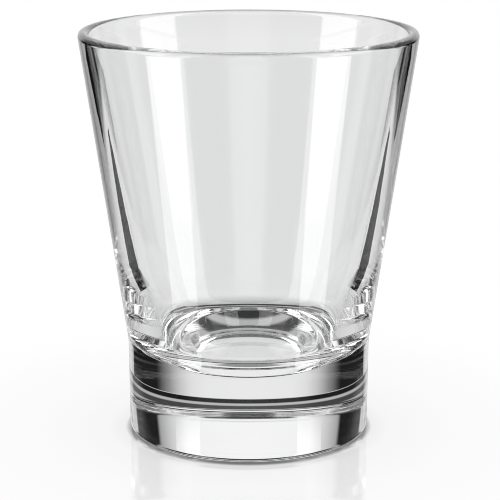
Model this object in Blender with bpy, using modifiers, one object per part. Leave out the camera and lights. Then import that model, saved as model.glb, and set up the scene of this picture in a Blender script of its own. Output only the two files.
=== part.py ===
"""Rocks glass: a flared bowl on a heavy round base, pressed as one piece of clear glass.

Units are metres and +Z is up. The axis of the glass is Z, and it stands on the plane Z = 0.
The glass is one turned body: its half section is drawn in the XZ plane and swept once around Z.
"""
import math

import bpy

# Overall sizes
HEIGHT = 0.1083
RIM_DIAMETER = 0.0890
LIP_THICKNESS = 0.0030

# Outside of the heavy base, from the step under the bowl down to the heel
BASE_HEIGHT = 0.0250
BASE_TOP_DIAMETER = 0.0649
BASE_BOTTOM_DIAMETER = 0.0644
STEP_BLEND_RADIUS = 0.0040
HEEL_RADIUS = 0.0018

# Inside of the bowl: a round well in the floor, a ledge round it, and a wall that bends on its way up
FLOOR_THICKNESS = 0.0195
WELL_DIAMETER = 0.0285
WELL_FILLET_RADIUS = 0.0050
LEDGE_HEIGHT = 0.0237
LEDGE_EDGE_DIAMETER = 0.0390
LEDGE_EDGE_RADIUS = 0.0020
LEDGE_DIAMETER = 0.0484
LEDGE_RISE = 0.0007
LEDGE_FILLET_RADIUS = 0.0060
BEND_HEIGHT = 0.0450
BEND_DIAMETER = 0.0599
BEND_RADIUS = 0.0900

# Underside: a flat ring to stand on, round a shallow dome
STANDING_RING_WIDTH = 0.0040
DOME_RISE = 0.0003

# Fineness of the turned surface
TURN_STEPS = 80
ARC_STEP = math.radians(9.0)
DOME_RINGS = 3

GLASS_COLOUR = (0.96, 0.975, 0.97, 1.0)
GLASS_ROUGHNESS = 0.02
GLASS_IOR = 1.52

WELD_DISTANCE = 0.00001


def clear_scene():
    """Start from an empty scene."""
    for scene_object in list(bpy.data.objects):
        bpy.data.objects.remove(scene_object, do_unlink=True)


def arc(centre, radius, start, end):
    """Points of a circle from one angle to another, both ends included."""
    steps = max(1, math.ceil(abs(end - start) / ARC_STEP))
    angles = [start + (end - start) * step / steps for step in range(steps + 1)]
    return [(centre[0] + radius * math.cos(angle), centre[1] + radius * math.sin(angle)) for angle in angles]


def heading(start, end):
    """Direction from one point of the section to another."""
    return math.atan2(end[1] - start[1], end[0] - start[0])


def round_corner(before, corner, after, radius):
    """The arc that rounds a corner of the section, from its first tangent point to its last."""
    way_in = heading(before, corner)
    turn = math.remainder(heading(corner, after) - way_in, math.tau)
    side = math.copysign(1.0, turn)
    setback = radius * math.tan(abs(turn) / 2.0)
    first = (corner[0] - setback * math.cos(way_in), corner[1] - setback * math.sin(way_in))
    to_centre = way_in + side * math.pi / 2.0
    centre = (first[0] + radius * math.cos(to_centre), first[1] + radius * math.sin(to_centre))
    return arc(centre, radius, to_centre + math.pi, to_centre + math.pi + turn)


def wall_heading(foot, centre, radius, side):
    """Direction of the straight wall that rises from foot and touches the lip's circle on one side."""
    reach = math.dist(foot, centre)
    return heading(foot, centre) - side * math.asin(radius / reach)


def dome(ring_radius):
    """Underside within the standing ring: a shallow spherical dome, from the ring to the axis."""
    sphere_radius = (ring_radius ** 2 + DOME_RISE ** 2) / (2.0 * DOME_RISE)
    centre = (0.0, DOME_RISE - sphere_radius)
    edge_angle = heading(centre, (ring_radius, 0.0))
    turn = (math.pi / 2.0 - edge_angle) / DOME_RINGS
    points = []
    for ring in range(DOME_RINGS):
        angle = edge_angle + turn * ring
        points.append((sphere_radius * math.cos(angle), centre[1] + sphere_radius * math.sin(angle)))
    return points + [(0.0, DOME_RISE)]


def glass_section():
    """Half section: floor, up the inside, over the lip, down the outside and across the underside."""
    lip_radius = LIP_THICKNESS / 2.0
    lip_centre = (RIM_DIAMETER / 2.0 - lip_radius, HEIGHT - lip_radius)
    floor_centre = (0.0, FLOOR_THICKNESS)
    well_corner = (WELL_DIAMETER / 2.0, FLOOR_THICKNESS)
    ledge_edge = (LEDGE_EDGE_DIAMETER / 2.0, LEDGE_HEIGHT)
    ledge_corner = (LEDGE_DIAMETER / 2.0, LEDGE_HEIGHT + LEDGE_RISE)
    bend = (BEND_DIAMETER / 2.0, BEND_HEIGHT)
    step_corner = (BASE_TOP_DIAMETER / 2.0, BASE_HEIGHT)
    heel_corner = (BASE_BOTTOM_DIAMETER / 2.0, 0.0)
    ring_edge = (BASE_BOTTOM_DIAMETER / 2.0 - HEEL_RADIUS - STANDING_RING_WIDTH, 0.0)

    inner_wall = wall_heading(bend, lip_centre, lip_radius, -1.0)
    outer_wall = wall_heading(step_corner, lip_centre, lip_radius, 1.0)
    lip = arc(lip_centre, lip_radius, inner_wall + math.pi / 2.0, outer_wall - math.pi / 2.0)

    section = [floor_centre]
    section += round_corner(floor_centre, well_corner, ledge_edge, WELL_FILLET_RADIUS)
    section += round_corner(well_corner, ledge_edge, ledge_corner, LEDGE_EDGE_RADIUS)
    section += round_corner(ledge_edge, ledge_corner, bend, LEDGE_FILLET_RADIUS)
    section += round_corner(ledge_corner, bend, lip[0], BEND_RADIUS)
    section += lip
    section += round_corner(lip[-1], step_corner, heel_corner, STEP_BLEND_RADIUS)
    section += round_corner(step_corner, heel_corner, ring_edge, HEEL_RADIUS)
    section += dome(ring_edge[0])
    return section


def clear_glass():
    """Clear colourless glass, polished by the mould and the flame."""
    material = bpy.data.materials.new("clear_glass")
    material.use_nodes = True
    shader = material.node_tree.nodes["Principled BSDF"]
    shader.inputs["Base Color"].default_value = GLASS_COLOUR
    shader.inputs["Roughness"].default_value = GLASS_ROUGHNESS
    shader.inputs["Metallic"].default_value = 0.0
    shader.inputs["IOR"].default_value = GLASS_IOR
    shader.inputs["Transmission Weight"].default_value = 1.0
    return material


def turned(name, section, material, collection):
    """A body turned around Z from its half section."""
    points = [(radius, 0.0, height) for radius, height in section]
    edges = [(index, index + 1) for index in range(len(points) - 1)]
    mesh = bpy.data.meshes.new(name)
    mesh.from_pydata(points, edges, [])
    mesh.materials.append(material)
    body = bpy.data.objects.new(name, mesh)
    collection.objects.link(body)

    screw = body.modifiers.new("turn", "SCREW")
    screw.axis = "Z"
    screw.angle = math.tau
    screw.steps = TURN_STEPS
    screw.render_steps = TURN_STEPS
    screw.use_merge_vertices = True
    screw.merge_threshold = WELD_DISTANCE
    screw.use_smooth_shade = True
    return body


def main():
    clear_scene()
    collection = bpy.data.collections.new("rocks_glass")
    bpy.context.scene.collection.children.link(collection)
    turned("glass_body", glass_section(), clear_glass(), collection)


main()
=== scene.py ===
"""Rocks glass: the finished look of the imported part, on a white table in a studio fitted to the picture.

Units are metres and +Z is up. The glass stands on the plane Z = 0, and the camera looks along +Y.
"""
import math

import bpy
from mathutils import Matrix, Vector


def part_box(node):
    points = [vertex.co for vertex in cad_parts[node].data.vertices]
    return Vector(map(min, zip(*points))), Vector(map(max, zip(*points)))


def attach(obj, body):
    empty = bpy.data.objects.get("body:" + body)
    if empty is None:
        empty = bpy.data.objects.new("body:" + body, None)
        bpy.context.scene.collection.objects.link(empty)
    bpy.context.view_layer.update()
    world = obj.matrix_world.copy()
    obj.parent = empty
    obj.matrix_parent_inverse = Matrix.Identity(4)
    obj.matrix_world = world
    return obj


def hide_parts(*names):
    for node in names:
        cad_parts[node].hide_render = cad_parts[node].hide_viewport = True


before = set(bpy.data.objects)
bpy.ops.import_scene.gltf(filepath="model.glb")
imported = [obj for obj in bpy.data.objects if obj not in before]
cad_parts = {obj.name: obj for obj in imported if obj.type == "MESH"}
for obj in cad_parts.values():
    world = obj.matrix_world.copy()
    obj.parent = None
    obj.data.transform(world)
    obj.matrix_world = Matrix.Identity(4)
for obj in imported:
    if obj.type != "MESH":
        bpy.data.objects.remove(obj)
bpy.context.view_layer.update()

# Sizes of the glass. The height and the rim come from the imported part.
GLASS_LOW, GLASS_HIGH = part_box("glass_body")
HEIGHT = GLASS_HIGH.z - GLASS_LOW.z
RIM_DIAMETER = GLASS_HIGH.x - GLASS_LOW.x
LIP_THICKNESS = 0.0030

# Outside of the heavy base
BASE_HEIGHT = 0.0250
BASE_TOP_DIAMETER = 0.0649
BASE_BOTTOM_DIAMETER = 0.0644
STEP_BLEND_RADIUS = 0.0040
HEEL_RADIUS = 0.0018

# Inside of the bowl: a round well in the floor, a ledge round it and a wall that bends outward
FLOOR_THICKNESS = 0.0195
WELL_DIAMETER = 0.0285
WELL_FILLET_RADIUS = 0.0050
LEDGE_EDGE_DIAMETER = 0.0390
LEDGE_EDGE_RADIUS = 0.0020
LEDGE_HEIGHT = 0.0237
LEDGE_DIAMETER = 0.0484
LEDGE_RISE = 0.0007
LEDGE_FILLET_RADIUS = 0.0060
BEND_HEIGHT = 0.0450
BEND_DIAMETER = 0.0599
BEND_RADIUS = 0.0900

# Underside: a flat ring to stand on, round a shallow dome
STANDING_RING_WIDTH = 0.0040
DOME_RISE = 0.0003
DOME_RINGS = 16

# Fineness of the finished surface, with a support point beside every arc to keep straight walls straight
TURN_STEPS = 320
ARC_STEP = math.radians(2.5)
SUPPORT_GAP = 0.00003
SHORTEST_WALL = 4.0 * SUPPORT_GAP
WELD_DISTANCE = 0.000001

# The view: camera place, tilt and lens fitted to the picture
CAMERA_PLACE = (0.00037, -0.5095, 0.1745)
CAMERA_TILT = math.radians(13.84)
PICTURE_WIDTH = 500
FOCAL_PIXELS = 1957
SENSOR_WIDTH = 36.0
CLIP_START, CLIP_END = 0.01, 100.0

# The studio, as (degrees from straight behind the glass, brightness), the same on both sides. It is fitted
# to the picture and is not one real room: light that has passed through the glass meets other rings than
# light that the glass mirrors.
# Met through the glass, from the top down: the upper ring, the lower ring and the ring of the table
UPPER_RING = (
    (0, 0.96), (22, 0.94), (37, 0.40), (39, 0.01), (63, 0.01), (65, 0.80), (75, 0.80), (80, 0.05),
    (91, 0.05), (92, 2.00), (124, 2.00), (125, 0.05), (162, 0.05), (166, 0.60), (180, 0.80),
)
LOWER_RING = (
    (0, 0.86), (14, 0.85), (20, 0.79), (25, 0.60), (31, 0.27), (37, 0.05), (39, 0.01), (67, 0.01),
    (69, 0.85), (130, 0.85), (136, 0.02), (165, 0.02), (169, 0.80), (180, 0.85),
)
TABLE_RING = (
    (0, 0.86), (24, 0.86), (45, 0.84), (70, 0.80), (104, 0.80), (105, 1.00), (132, 1.00), (133, 0.10),
    (158, 0.10), (166, 0.70), (180, 0.80),
)
# Mirrored by the glass and the table: a dark room, low panels that draw bright stripes, and tall panels
ROOM_RING = ((0, 0.05), (8, 0.05), (11, 0.90), (26, 0.70), (34, 0.01), (180, 0.01))
STRIPE_RING = (
    (0, 0.05), (8, 0.05), (11, 0.90), (26, 0.70), (34, 0.01), (105.5, 0.01), (106.5, 2.80), (132, 2.80),
    (133, 0.01), (180, 0.01),
)
PANEL_RING = (
    (0, 1.00), (30, 1.00), (40, 0.35), (90, 0.35), (91, 3.00), (122, 3.00), (123, 0.35), (180, 0.35),
)
# Heights where one gives way to the next, in degrees above the level of the glass. The dark strip overhead is
# bounded by its share to the side, the dark band and the pale horizon by degrees from straight behind.
CEILING_START, CEILING_END, CEILING_LEVEL = 50, 56, 0.80
STRIP_LOW, STRIP_HIGH, STRIP_START, STRIP_END, STRIP_LEVEL = 24, 32, 0.24, 0.32, 0.03
BAND_LOW, BAND_START, BAND_END, BAND_HIGH, BAND_LEVEL = 2.0, 5.0, 14.5, 16.0, 0.03
BAND_SIDE_START, BAND_SIDE_END = 30, 38
UPPER_START, UPPER_END = -7, -3
LOWER_START, LOWER_END = -20.0, -19.0
STRIPE_START, STRIPE_END = -20.5, -19.5
HORIZON_LOW, HORIZON_START, HORIZON_END, HORIZON_HIGH, HORIZON_LEVEL = -9.0, -8.0, -3.0, -2.0, 0.82
HORIZON_SIDE_START, HORIZON_SIDE_END = 20, 24
MIRROR_START, MIRROR_END = -2.0, 0.0
GROUND_START, GROUND_END, GROUND_LEVEL = -64, -24, 0.34
BACKDROP_WHITE = 0.995
RING_SCALE = 5.0
HALF_TURN = 180.0

# The table, which lights itself. Its shade round the foot of the glass is drawn, as (distance from the
# axis, brightness).
TABLE_SIZE = 6.0
TABLE_DROP = 0.0001
TABLE_GLOSS_SHARE = 0.22
TABLE_GLOSS_START, TABLE_GLOSS_END = 0.110, 0.050
TABLE_GLOW = 1.0
TABLE_GLOSS_ROUGHNESS = 0.05
TABLE_SHADE = ((0.0318, 0.20), (0.0326, 0.45), (0.0336, 0.88), (0.0380, 0.96), (0.0550, 1.00))
TABLE_SHADE_REACH = 0.1

# Flat pieces on the table that show only through the glass.
# The shade round the foot of the glass, drawn alike all round: (distance from the axis, brightness)
SHADOW_RINGS = (
    (0.0248, 0.85), (0.0254, 0.05), (0.0272, 0.05), (0.0280, 0.50), (0.0356, 0.50), (0.0364, 0.06),
    (0.0392, 0.06), (0.0400, 0.50), (0.0414, 0.50), (0.0422, 0.01), (0.0455, 0.01), (0.0462, 0.85),
)
SHADOW_HEIGHT = -TABLE_DROP / 4.0
# Black shapes behind the glass, one of each on both sides, as corners in x and y
FAR_FLAG = ((0.138, 0.196), (0.205, 0.228), (0.260, 0.330), (0.165, 0.345))
NEAR_FLAG = ((0.062, 0.036), (0.082, 0.012), (0.154, 0.108), (0.186, 0.154), (0.176, 0.158), (0.126, 0.120))
FLAG_HEIGHT = 0.0
FLAG_BLACK = (0.01, 0.01, 0.01, 1.0)
# The patch under the base, white with a painted grey shade and a dark edge of painted shade on the camera's
# side
PATCH_RADIUS = 0.0300
PATCH_WHITE = 0.90
PATCH_SHADE, PATCH_SHADE_START, PATCH_SHADE_END = 0.30, -0.012, -0.009
PATCH_SHADE_SIDE_START, PATCH_SHADE_SIDE_END = 0.008, 0.015
PATCH_EDGE_SHADE, PATCH_EDGE_SHADE_START, PATCH_EDGE_SHADE_END = 0.04, -0.026, -0.023
PATCH_HEIGHT = -TABLE_DROP / 2.0
CIRCLE_STEPS = 96

# The glass itself
GLASS_TINT = (0.992, 0.996, 0.995, 1.0)
GLASS_IOR = 1.52
# Its finish: a slight unevenness of the polish, a faint ripple, and fine scuffs on the standing ring
POLISH_GRAIN, POLISH_LOW, POLISH_HIGH = 70.0, 0.000, 0.0012
RIPPLE_GRAIN, RIPPLE_DEPTH, RIPPLE_STRENGTH = 30.0, 0.00002, 0.02
SCUFF_GRAIN, SCUFF_HEIGHT, SCUFF_ROUGHNESS = 900.0, 0.0001, 0.20
LIGHT_BOUNCES = 32
PIXEL_FILTER_WIDTH = 1.0

# Places of the colours on a mix node, and of the shaders on a mix shader node
MIX_FIRST, MIX_SECOND, MIX_RESULT = 6, 7, 2
SHADER_FIRST, SHADER_SECOND = 1, 2


def arc(centre, radius, start, end):
    """Points of a circle from one angle to another, both ends included."""
    steps = max(1, math.ceil(abs(end - start) / ARC_STEP))
    angles = [start + (end - start) * step / steps for step in range(steps + 1)]
    return [(centre[0] + radius * math.cos(angle), centre[1] + radius * math.sin(angle)) for angle in angles]


def heading(start, end):
    """Direction from one point of the section to another."""
    return math.atan2(end[1] - start[1], end[0] - start[0])


def round_corner(before, corner, after, radius):
    """The arc that rounds a corner of the section, from its first tangent point to its last."""
    way_in = heading(before, corner)
    turn = math.remainder(heading(corner, after) - way_in, math.tau)
    side = math.copysign(1.0, turn)
    setback = radius * math.tan(abs(turn) / 2.0)
    first = (corner[0] - setback * math.cos(way_in), corner[1] - setback * math.sin(way_in))
    to_centre = way_in + side * math.pi / 2.0
    centre = (first[0] + radius * math.cos(to_centre), first[1] + radius * math.sin(to_centre))
    return arc(centre, radius, to_centre + math.pi, to_centre + math.pi + turn)


def wall_heading(foot, centre, radius, side):
    """Direction of the straight wall that rises from foot and touches the lip's circle on one side."""
    reach = math.dist(foot, centre)
    return heading(foot, centre) - side * math.asin(radius / reach)


def dome(ring_radius):
    """Underside within the standing ring: a shallow spherical dome, from the ring to the axis."""
    sphere_radius = (ring_radius ** 2 + DOME_RISE ** 2) / (2.0 * DOME_RISE)
    centre = (0.0, DOME_RISE - sphere_radius)
    edge_angle = heading(centre, (ring_radius, 0.0))
    points = []
    for ring in range(DOME_RINGS):
        angle = edge_angle + (math.pi / 2.0 - edge_angle) * ring / DOME_RINGS
        points.append((sphere_radius * math.cos(angle), centre[1] + sphere_radius * math.sin(angle)))
    return points + [(0.0, DOME_RISE)]


def joined(runs):
    """One section from its runs of points, with support points at both ends of each straight wall."""
    section = list(runs[0])
    for run in runs[1:]:
        start, end = section[-1], run[0]
        length = math.dist(start, end)
        if length > SHORTEST_WALL:
            way = heading(start, end)
            gap = (SUPPORT_GAP * math.cos(way), SUPPORT_GAP * math.sin(way))
            section.append((start[0] + gap[0], start[1] + gap[1]))
            section.append((end[0] - gap[0], end[1] - gap[1]))
        section += run
    return section


def glass_section():
    """Half section: floor, up the inside, over the lip, down the outside and across the underside."""
    lip_radius = LIP_THICKNESS / 2.0
    lip_centre = (RIM_DIAMETER / 2.0 - lip_radius, HEIGHT - lip_radius)
    floor_centre = (0.0, FLOOR_THICKNESS)
    well_corner = (WELL_DIAMETER / 2.0, FLOOR_THICKNESS)
    ledge_edge = (LEDGE_EDGE_DIAMETER / 2.0, LEDGE_HEIGHT)
    ledge_corner = (LEDGE_DIAMETER / 2.0, LEDGE_HEIGHT + LEDGE_RISE)
    bend = (BEND_DIAMETER / 2.0, BEND_HEIGHT)
    step_corner = (BASE_TOP_DIAMETER / 2.0, BASE_HEIGHT)
    heel_corner = (BASE_BOTTOM_DIAMETER / 2.0, 0.0)
    ring_edge = (BASE_BOTTOM_DIAMETER / 2.0 - HEEL_RADIUS - STANDING_RING_WIDTH, 0.0)

    inner_wall = wall_heading(bend, lip_centre, lip_radius, -1.0)
    outer_wall = wall_heading(step_corner, lip_centre, lip_radius, 1.0)
    lip = arc(lip_centre, lip_radius, inner_wall + math.pi / 2.0, outer_wall - math.pi / 2.0)
    return joined([
        [floor_centre],
        round_corner(floor_centre, well_corner, ledge_edge, WELL_FILLET_RADIUS),
        round_corner(well_corner, ledge_edge, ledge_corner, LEDGE_EDGE_RADIUS),
        round_corner(ledge_edge, ledge_corner, bend, LEDGE_FILLET_RADIUS),
        round_corner(ledge_corner, bend, lip[0], BEND_RADIUS),
        lip,
        round_corner(lip[-1], step_corner, heel_corner, STEP_BLEND_RADIUS),
        round_corner(step_corner, heel_corner, ring_edge, HEEL_RADIUS),
        dome(ring_edge[0]),
    ])


class Tree:
    """Short forms for building a node tree."""

    def __init__(self, tree):
        self.tree = tree
        self.tree.nodes.clear()

    def node(self, kind, **settings):
        """A new node with its settings."""
        made = self.tree.nodes.new(kind)
        for name, value in settings.items():
            setattr(made, name, value)
        return made

    def feed(self, socket, value):
        """Link a socket to another one, or set its value."""
        if isinstance(value, bpy.types.NodeSocket):
            self.tree.links.new(value, socket)
        else:
            socket.default_value = value

    def math(self, operation, *values):
        """The result of a sum on sockets and numbers."""
        made = self.node("ShaderNodeMath", operation=operation)
        for socket, value in zip(made.inputs, values):
            self.feed(socket, value)
        return made.outputs["Value"]

    def ramp(self, factor, stops):
        """Brightness by factor, straight between the stops."""
        made = self.node("ShaderNodeValToRGB")
        elements = made.color_ramp.elements
        while len(elements) < len(stops):
            elements.new(1.0)
        for element, (position, level) in zip(elements, stops):
            element.position = position
            element.color = (level, level, level, 1.0)
        self.feed(made.inputs["Fac"], factor)
        return made.outputs["Color"]

    def step(self, value, start, end):
        """0 below the start, 1 above the end, smooth between."""
        made = self.node("ShaderNodeMapRange", interpolation_type="SMOOTHSTEP")
        for socket, number in zip(made.inputs, (value, start, end, 0.0, 1.0)):
            self.feed(socket, number)
        return made.outputs["Result"]

    def noise(self, place, grain):
        """An even random pattern, with its number of grains in a metre."""
        made = self.node("ShaderNodeTexNoise")
        self.feed(made.inputs["Vector"], place)
        self.feed(made.inputs["Scale"], grain)
        return made.outputs["Fac"]

    def mix(self, share, first, second):
        """A blend of two brightnesses: the first at share 0, the second at share 1."""
        made = self.node("ShaderNodeMix", data_type="RGBA")
        colours = [value if isinstance(value, bpy.types.NodeSocket) else (value, value, value, 1.0)
                   for value in (first, second)]
        self.feed(made.inputs["Factor"], share)
        self.feed(made.inputs[MIX_FIRST], colours[0])
        self.feed(made.inputs[MIX_SECOND], colours[1])
        return made.outputs[MIX_RESULT]

    def product(self, first, second):
        """The two values times each other."""
        return self.math("MULTIPLY", first, second)

    def place(self):
        """Where on the piece a point lies."""
        return self.node("ShaderNodeTexCoord").outputs["Object"]

    def split(self, vector):
        """The X, Y and Z of a vector."""
        made = self.node("ShaderNodeSeparateXYZ")
        self.feed(made.inputs["Vector"], vector)
        return made.outputs

    def distance(self):
        """How far from the middle of the piece a point lies."""
        made = self.node("ShaderNodeVectorMath", operation="LENGTH")
        self.feed(made.inputs["Vector"], self.place())
        return made.outputs["Value"]

    def shade(self, distance, stops, reach):
        """Brightness by distance, with the distance where the ramp ends."""
        share = self.math("DIVIDE", distance, reach)
        return self.ramp(share, [(ring / reach, level) for ring, level in stops])

    def glow(self, colour):
        """A lit surface of this colour."""
        made = self.node("ShaderNodeEmission")
        self.feed(made.inputs["Color"], colour)
        return made

    def show(self, shader):
        """Make this shader the material's surface."""
        self.feed(self.node("ShaderNodeOutputMaterial").inputs["Surface"], shader)


class Sky(Tree):
    """The node tree of the surroundings, by the direction in which light comes from them."""

    def __init__(self, tree):
        super().__init__(tree)
        towards = self.split(self.node("ShaderNodeTexCoord").outputs["Generated"])
        self.sideways = self.math("ABSOLUTE", towards["X"])
        self.around = self.math("DIVIDE", self.math("ARCTAN2", self.sideways, towards["Y"]), math.pi)
        self.height = self.math("DEGREES", self.math("ARCSINE", towards["Z"]))

    def ring(self, stops):
        """Brightness around the glass."""
        return self.ramp(self.around, [(angle / HALF_TURN, level / RING_SCALE) for angle, level in stops])

    def above(self, start, end):
        """0 below the start, 1 above the end. With the start above the end it is 1 below and 0 above."""
        return self.step(self.height, start, end)

    def behind(self, start, end):
        """1 behind the glass as far round as the start, 0 past the end."""
        return self.step(self.around, end / HALF_TURN, start / HALF_TURN)


def new_material(name):
    """A new material and its empty node tree."""
    material = bpy.data.materials.new(name)
    material.use_nodes = True
    return material, Tree(material.node_tree)


def hide_from(piece, rays):
    """Keep a piece of the studio out of the sight of these kinds of rays."""
    for kind in rays:
        setattr(piece, f"visible_{kind}", False)


def clear_glass():
    """Clear colourless glass, polished by the mould and the flame."""
    material, tree = new_material("clear_glass_finish")
    shader = tree.node("ShaderNodeBsdfPrincipled")
    shader.inputs["Base Color"].default_value = GLASS_TINT
    shader.inputs["IOR"].default_value = GLASS_IOR
    shader.inputs["Transmission Weight"].default_value = 1.0

    place = tree.place()
    polish = tree.math("MULTIPLY_ADD", tree.noise(place, POLISH_GRAIN), POLISH_HIGH - POLISH_LOW, POLISH_LOW)
    standing = tree.step(tree.split(place)["Z"], SCUFF_HEIGHT, 0.0)
    scuffs = tree.product(standing, tree.noise(place, SCUFF_GRAIN))
    scuffs = tree.product(scuffs, SCUFF_ROUGHNESS)
    tree.feed(shader.inputs["Roughness"], tree.math("ADD", polish, scuffs))

    ripple = tree.node("ShaderNodeBump")
    ripple.inputs["Strength"].default_value = RIPPLE_STRENGTH
    ripple.inputs["Distance"].default_value = RIPPLE_DEPTH
    tree.feed(ripple.inputs["Height"], tree.noise(place, RIPPLE_GRAIN))
    tree.feed(shader.inputs["Normal"], ripple.outputs["Normal"])
    tree.show(shader.outputs["BSDF"])
    return material


def finished_glass():
    """The fine turned surface that stands for the glass body."""
    points = [(radius, 0.0, height) for radius, height in glass_section()]
    edges = [(index, index + 1) for index in range(len(points) - 1)]
    mesh = bpy.data.meshes.new("rocks_glass")
    mesh.from_pydata(points, edges, [])
    mesh.materials.append(clear_glass())
    glass = bpy.data.objects.new("rocks_glass", mesh)
    bpy.context.scene.collection.objects.link(glass)

    screw = glass.modifiers.new("turn", "SCREW")
    screw.axis = "Z"
    screw.angle = math.tau
    screw.steps = TURN_STEPS
    screw.render_steps = TURN_STEPS
    screw.use_merge_vertices = True
    screw.merge_threshold = WELD_DISTANCE
    screw.use_smooth_shade = True

    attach(glass, "root")
    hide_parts("glass_body")


def table_white():
    """White table with the drawn shade, and a faint polish near the glass."""
    material, tree = new_material("table_white")
    distance = tree.distance()
    glow = tree.glow(tree.shade(distance, TABLE_SHADE, TABLE_SHADE_REACH))
    glow.inputs["Strength"].default_value = TABLE_GLOW
    gloss = tree.node("ShaderNodeBsdfGlossy")
    gloss.inputs["Roughness"].default_value = TABLE_GLOSS_ROUGHNESS
    near = tree.step(distance, TABLE_GLOSS_START, TABLE_GLOSS_END)
    both = tree.node("ShaderNodeMixShader")
    tree.feed(both.inputs["Fac"], tree.product(near, TABLE_GLOSS_SHARE))
    tree.feed(both.inputs[SHADER_FIRST], glow.outputs["Emission"])
    tree.feed(both.inputs[SHADER_SECOND], gloss.outputs["BSDF"])
    tree.show(both.outputs["Shader"])
    return material


def table():
    """The plain pale table that the glass stands on."""
    bpy.ops.mesh.primitive_plane_add(size=TABLE_SIZE, location=(0.0, 0.0, -TABLE_DROP))
    top = bpy.context.object
    top.name = "table"
    top.data.materials.append(table_white())
    hide_from(top, ("transmission", "glossy", "diffuse", "shadow"))


def shadow_print():
    """Rings of shade by distance from the axis."""
    material, tree = new_material("table_shadow")
    reach = SHADOW_RINGS[-1][0]
    tree.show(tree.glow(tree.shade(tree.distance(), SHADOW_RINGS, reach)).outputs["Emission"])
    return material


def seen_through_glass(name, corners, faces, material):
    """A flat piece of the studio that shows only through the glass."""
    mesh = bpy.data.meshes.new(name)
    mesh.from_pydata(corners, [], faces)
    mesh.materials.append(material)
    piece = bpy.data.objects.new(name, mesh)
    bpy.context.scene.collection.objects.link(piece)
    hide_from(piece, ("camera", "glossy", "diffuse", "shadow"))


def circle(radius, height):
    """Corners of a circle on the table."""
    turns = [math.tau * step / CIRCLE_STEPS for step in range(CIRCLE_STEPS)]
    return [(radius * math.cos(turn), radius * math.sin(turn), height) for turn in turns]


def table_shadow():
    """The ring of shadow round the foot of the glass."""
    inside = circle(SHADOW_RINGS[0][0], SHADOW_HEIGHT)
    outside = circle(SHADOW_RINGS[-1][0], SHADOW_HEIGHT)
    faces = []
    for step in range(CIRCLE_STEPS):
        after = (step + 1) % CIRCLE_STEPS
        faces.append((step, after, CIRCLE_STEPS + after, CIRCLE_STEPS + step))
    seen_through_glass("table_shadow", inside + outside, faces, shadow_print())


def flags():
    """Black shapes on the table, seen only in the walls of the glass."""
    material, tree = new_material("flag_black")
    cloth = tree.node("ShaderNodeBsdfDiffuse")
    cloth.inputs["Color"].default_value = FLAG_BLACK
    tree.show(cloth.outputs["BSDF"])
    for name, outline in (("far_flag", FAR_FLAG), ("near_flag", NEAR_FLAG)):
        for side in (-1.0, 1.0):
            corners = [(side * x, y, FLAG_HEIGHT) for x, y in outline]
            seen_through_glass(name, corners, [range(len(corners))], material)


def patch_print():
    """White, with a painted grey shade and a dark edge of painted shade on the camera's side."""
    material, tree = new_material("lit_patch")
    place = tree.split(tree.place())
    sideways = tree.math("ABSOLUTE", place["X"])
    deep = place["Y"]
    # Painted shade on the camera's side: grey, then darker at the edge, and none far to the sides
    level = tree.mix(tree.step(deep, PATCH_SHADE_START, PATCH_SHADE_END), PATCH_SHADE, PATCH_WHITE)
    level = tree.mix(tree.step(deep, PATCH_EDGE_SHADE_START, PATCH_EDGE_SHADE_END), PATCH_EDGE_SHADE, level)
    level = tree.mix(tree.step(sideways, PATCH_SHADE_SIDE_START, PATCH_SHADE_SIDE_END), level, PATCH_WHITE)
    tree.show(tree.glow(level).outputs["Emission"])
    return material


def lit_patch():
    """The patch of table under the base."""
    corners = circle(PATCH_RADIUS, PATCH_HEIGHT)
    seen_through_glass("lit_patch", corners, [range(len(corners))], patch_print())


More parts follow.
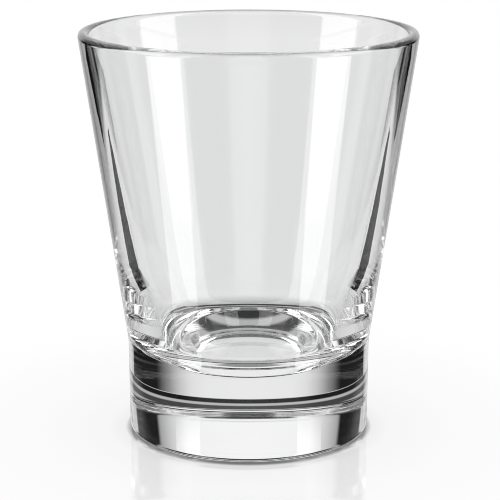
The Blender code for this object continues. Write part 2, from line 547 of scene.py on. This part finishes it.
def light_through_glass(sky):
    """What light meets that has passed through the glass: bright and dark sectors at several heights."""
    room = sky.mix(sky.above(UPPER_START, UPPER_END), sky.ring(LOWER_RING), sky.ring(UPPER_RING))
    room = sky.mix(sky.above(LOWER_START, LOWER_END), sky.ring(TABLE_RING), room)
    room = sky.mix(sky.above(CEILING_START, CEILING_END), room, CEILING_LEVEL / RING_SCALE)

    strip = sky.product(sky.above(STRIP_LOW, STRIP_HIGH), sky.step(sky.sideways, STRIP_END, STRIP_START))
    room = sky.mix(strip, room, STRIP_LEVEL / RING_SCALE)
    band = sky.product(sky.above(BAND_LOW, BAND_START), sky.above(BAND_HIGH, BAND_END))
    band = sky.product(band, sky.behind(BAND_SIDE_START, BAND_SIDE_END))
    room = sky.mix(band, room, BAND_LEVEL / RING_SCALE)
    room = sky.mix(sky.above(GROUND_START, GROUND_END), GROUND_LEVEL / RING_SCALE, room)
    horizon = sky.product(sky.above(HORIZON_LOW, HORIZON_START), sky.above(HORIZON_HIGH, HORIZON_END))
    horizon = sky.product(horizon, sky.behind(HORIZON_SIDE_START, HORIZON_SIDE_END))
    return sky.mix(horizon, room, HORIZON_LEVEL / RING_SCALE)


def mirrored_light(sky):
    """What the glass and the table mirror: a dark room with panels on both sides."""
    room = sky.mix(sky.above(STRIPE_START, STRIPE_END), sky.ring(STRIPE_RING), sky.ring(ROOM_RING))
    return sky.mix(sky.above(MIRROR_START, MIRROR_END), room, sky.ring(PANEL_RING))


def studio():
    """The surroundings: one light through the glass, another mirrored by it, and a white backdrop."""
    world = bpy.data.worlds.new("studio")
    bpy.context.scene.world = world
    world.use_nodes = True
    sky = Sky(world.node_tree)
    rays = sky.node("ShaderNodeLightPath")
    seen = sky.mix(rays.outputs["Is Reflection Ray"], light_through_glass(sky), mirrored_light(sky))
    seen = sky.mix(rays.outputs["Is Camera Ray"], seen, BACKDROP_WHITE / RING_SCALE)
    light = sky.node("ShaderNodeBackground")
    light.inputs["Strength"].default_value = RING_SCALE
    sky.feed(light.inputs["Color"], seen)
    sky.feed(sky.node("ShaderNodeOutputWorld").inputs["Surface"], light.outputs["Background"])


def camera():
    """The picture's point of view."""
    data = bpy.data.cameras.new("camera")
    data.sensor_width = SENSOR_WIDTH
    data.lens = FOCAL_PIXELS / PICTURE_WIDTH * SENSOR_WIDTH
    data.clip_start = CLIP_START
    data.clip_end = CLIP_END
    viewer = bpy.data.objects.new("camera", data)
    viewer.location = CAMERA_PLACE
    viewer.rotation_euler = (math.pi / 2.0 - CAMERA_TILT, 0.0, 0.0)
    bpy.context.scene.collection.objects.link(viewer)
    bpy.context.scene.camera = viewer


def picture_settings():
    """Plain colours, and enough bounces for light inside thick glass."""
    scene = bpy.context.scene
    scene.view_settings.view_transform = "Standard"
    for kind in ("max_bounces", "transmission_bounces", "glossy_bounces", "transparent_max_bounces"):
        setattr(scene.cycles, kind, LIGHT_BOUNCES)
    scene.cycles.filter_width = PIXEL_FILTER_WIDTH


camera()
finished_glass()
table()
table_shadow()
flags()
lit_patch()
studio()
picture_settings()
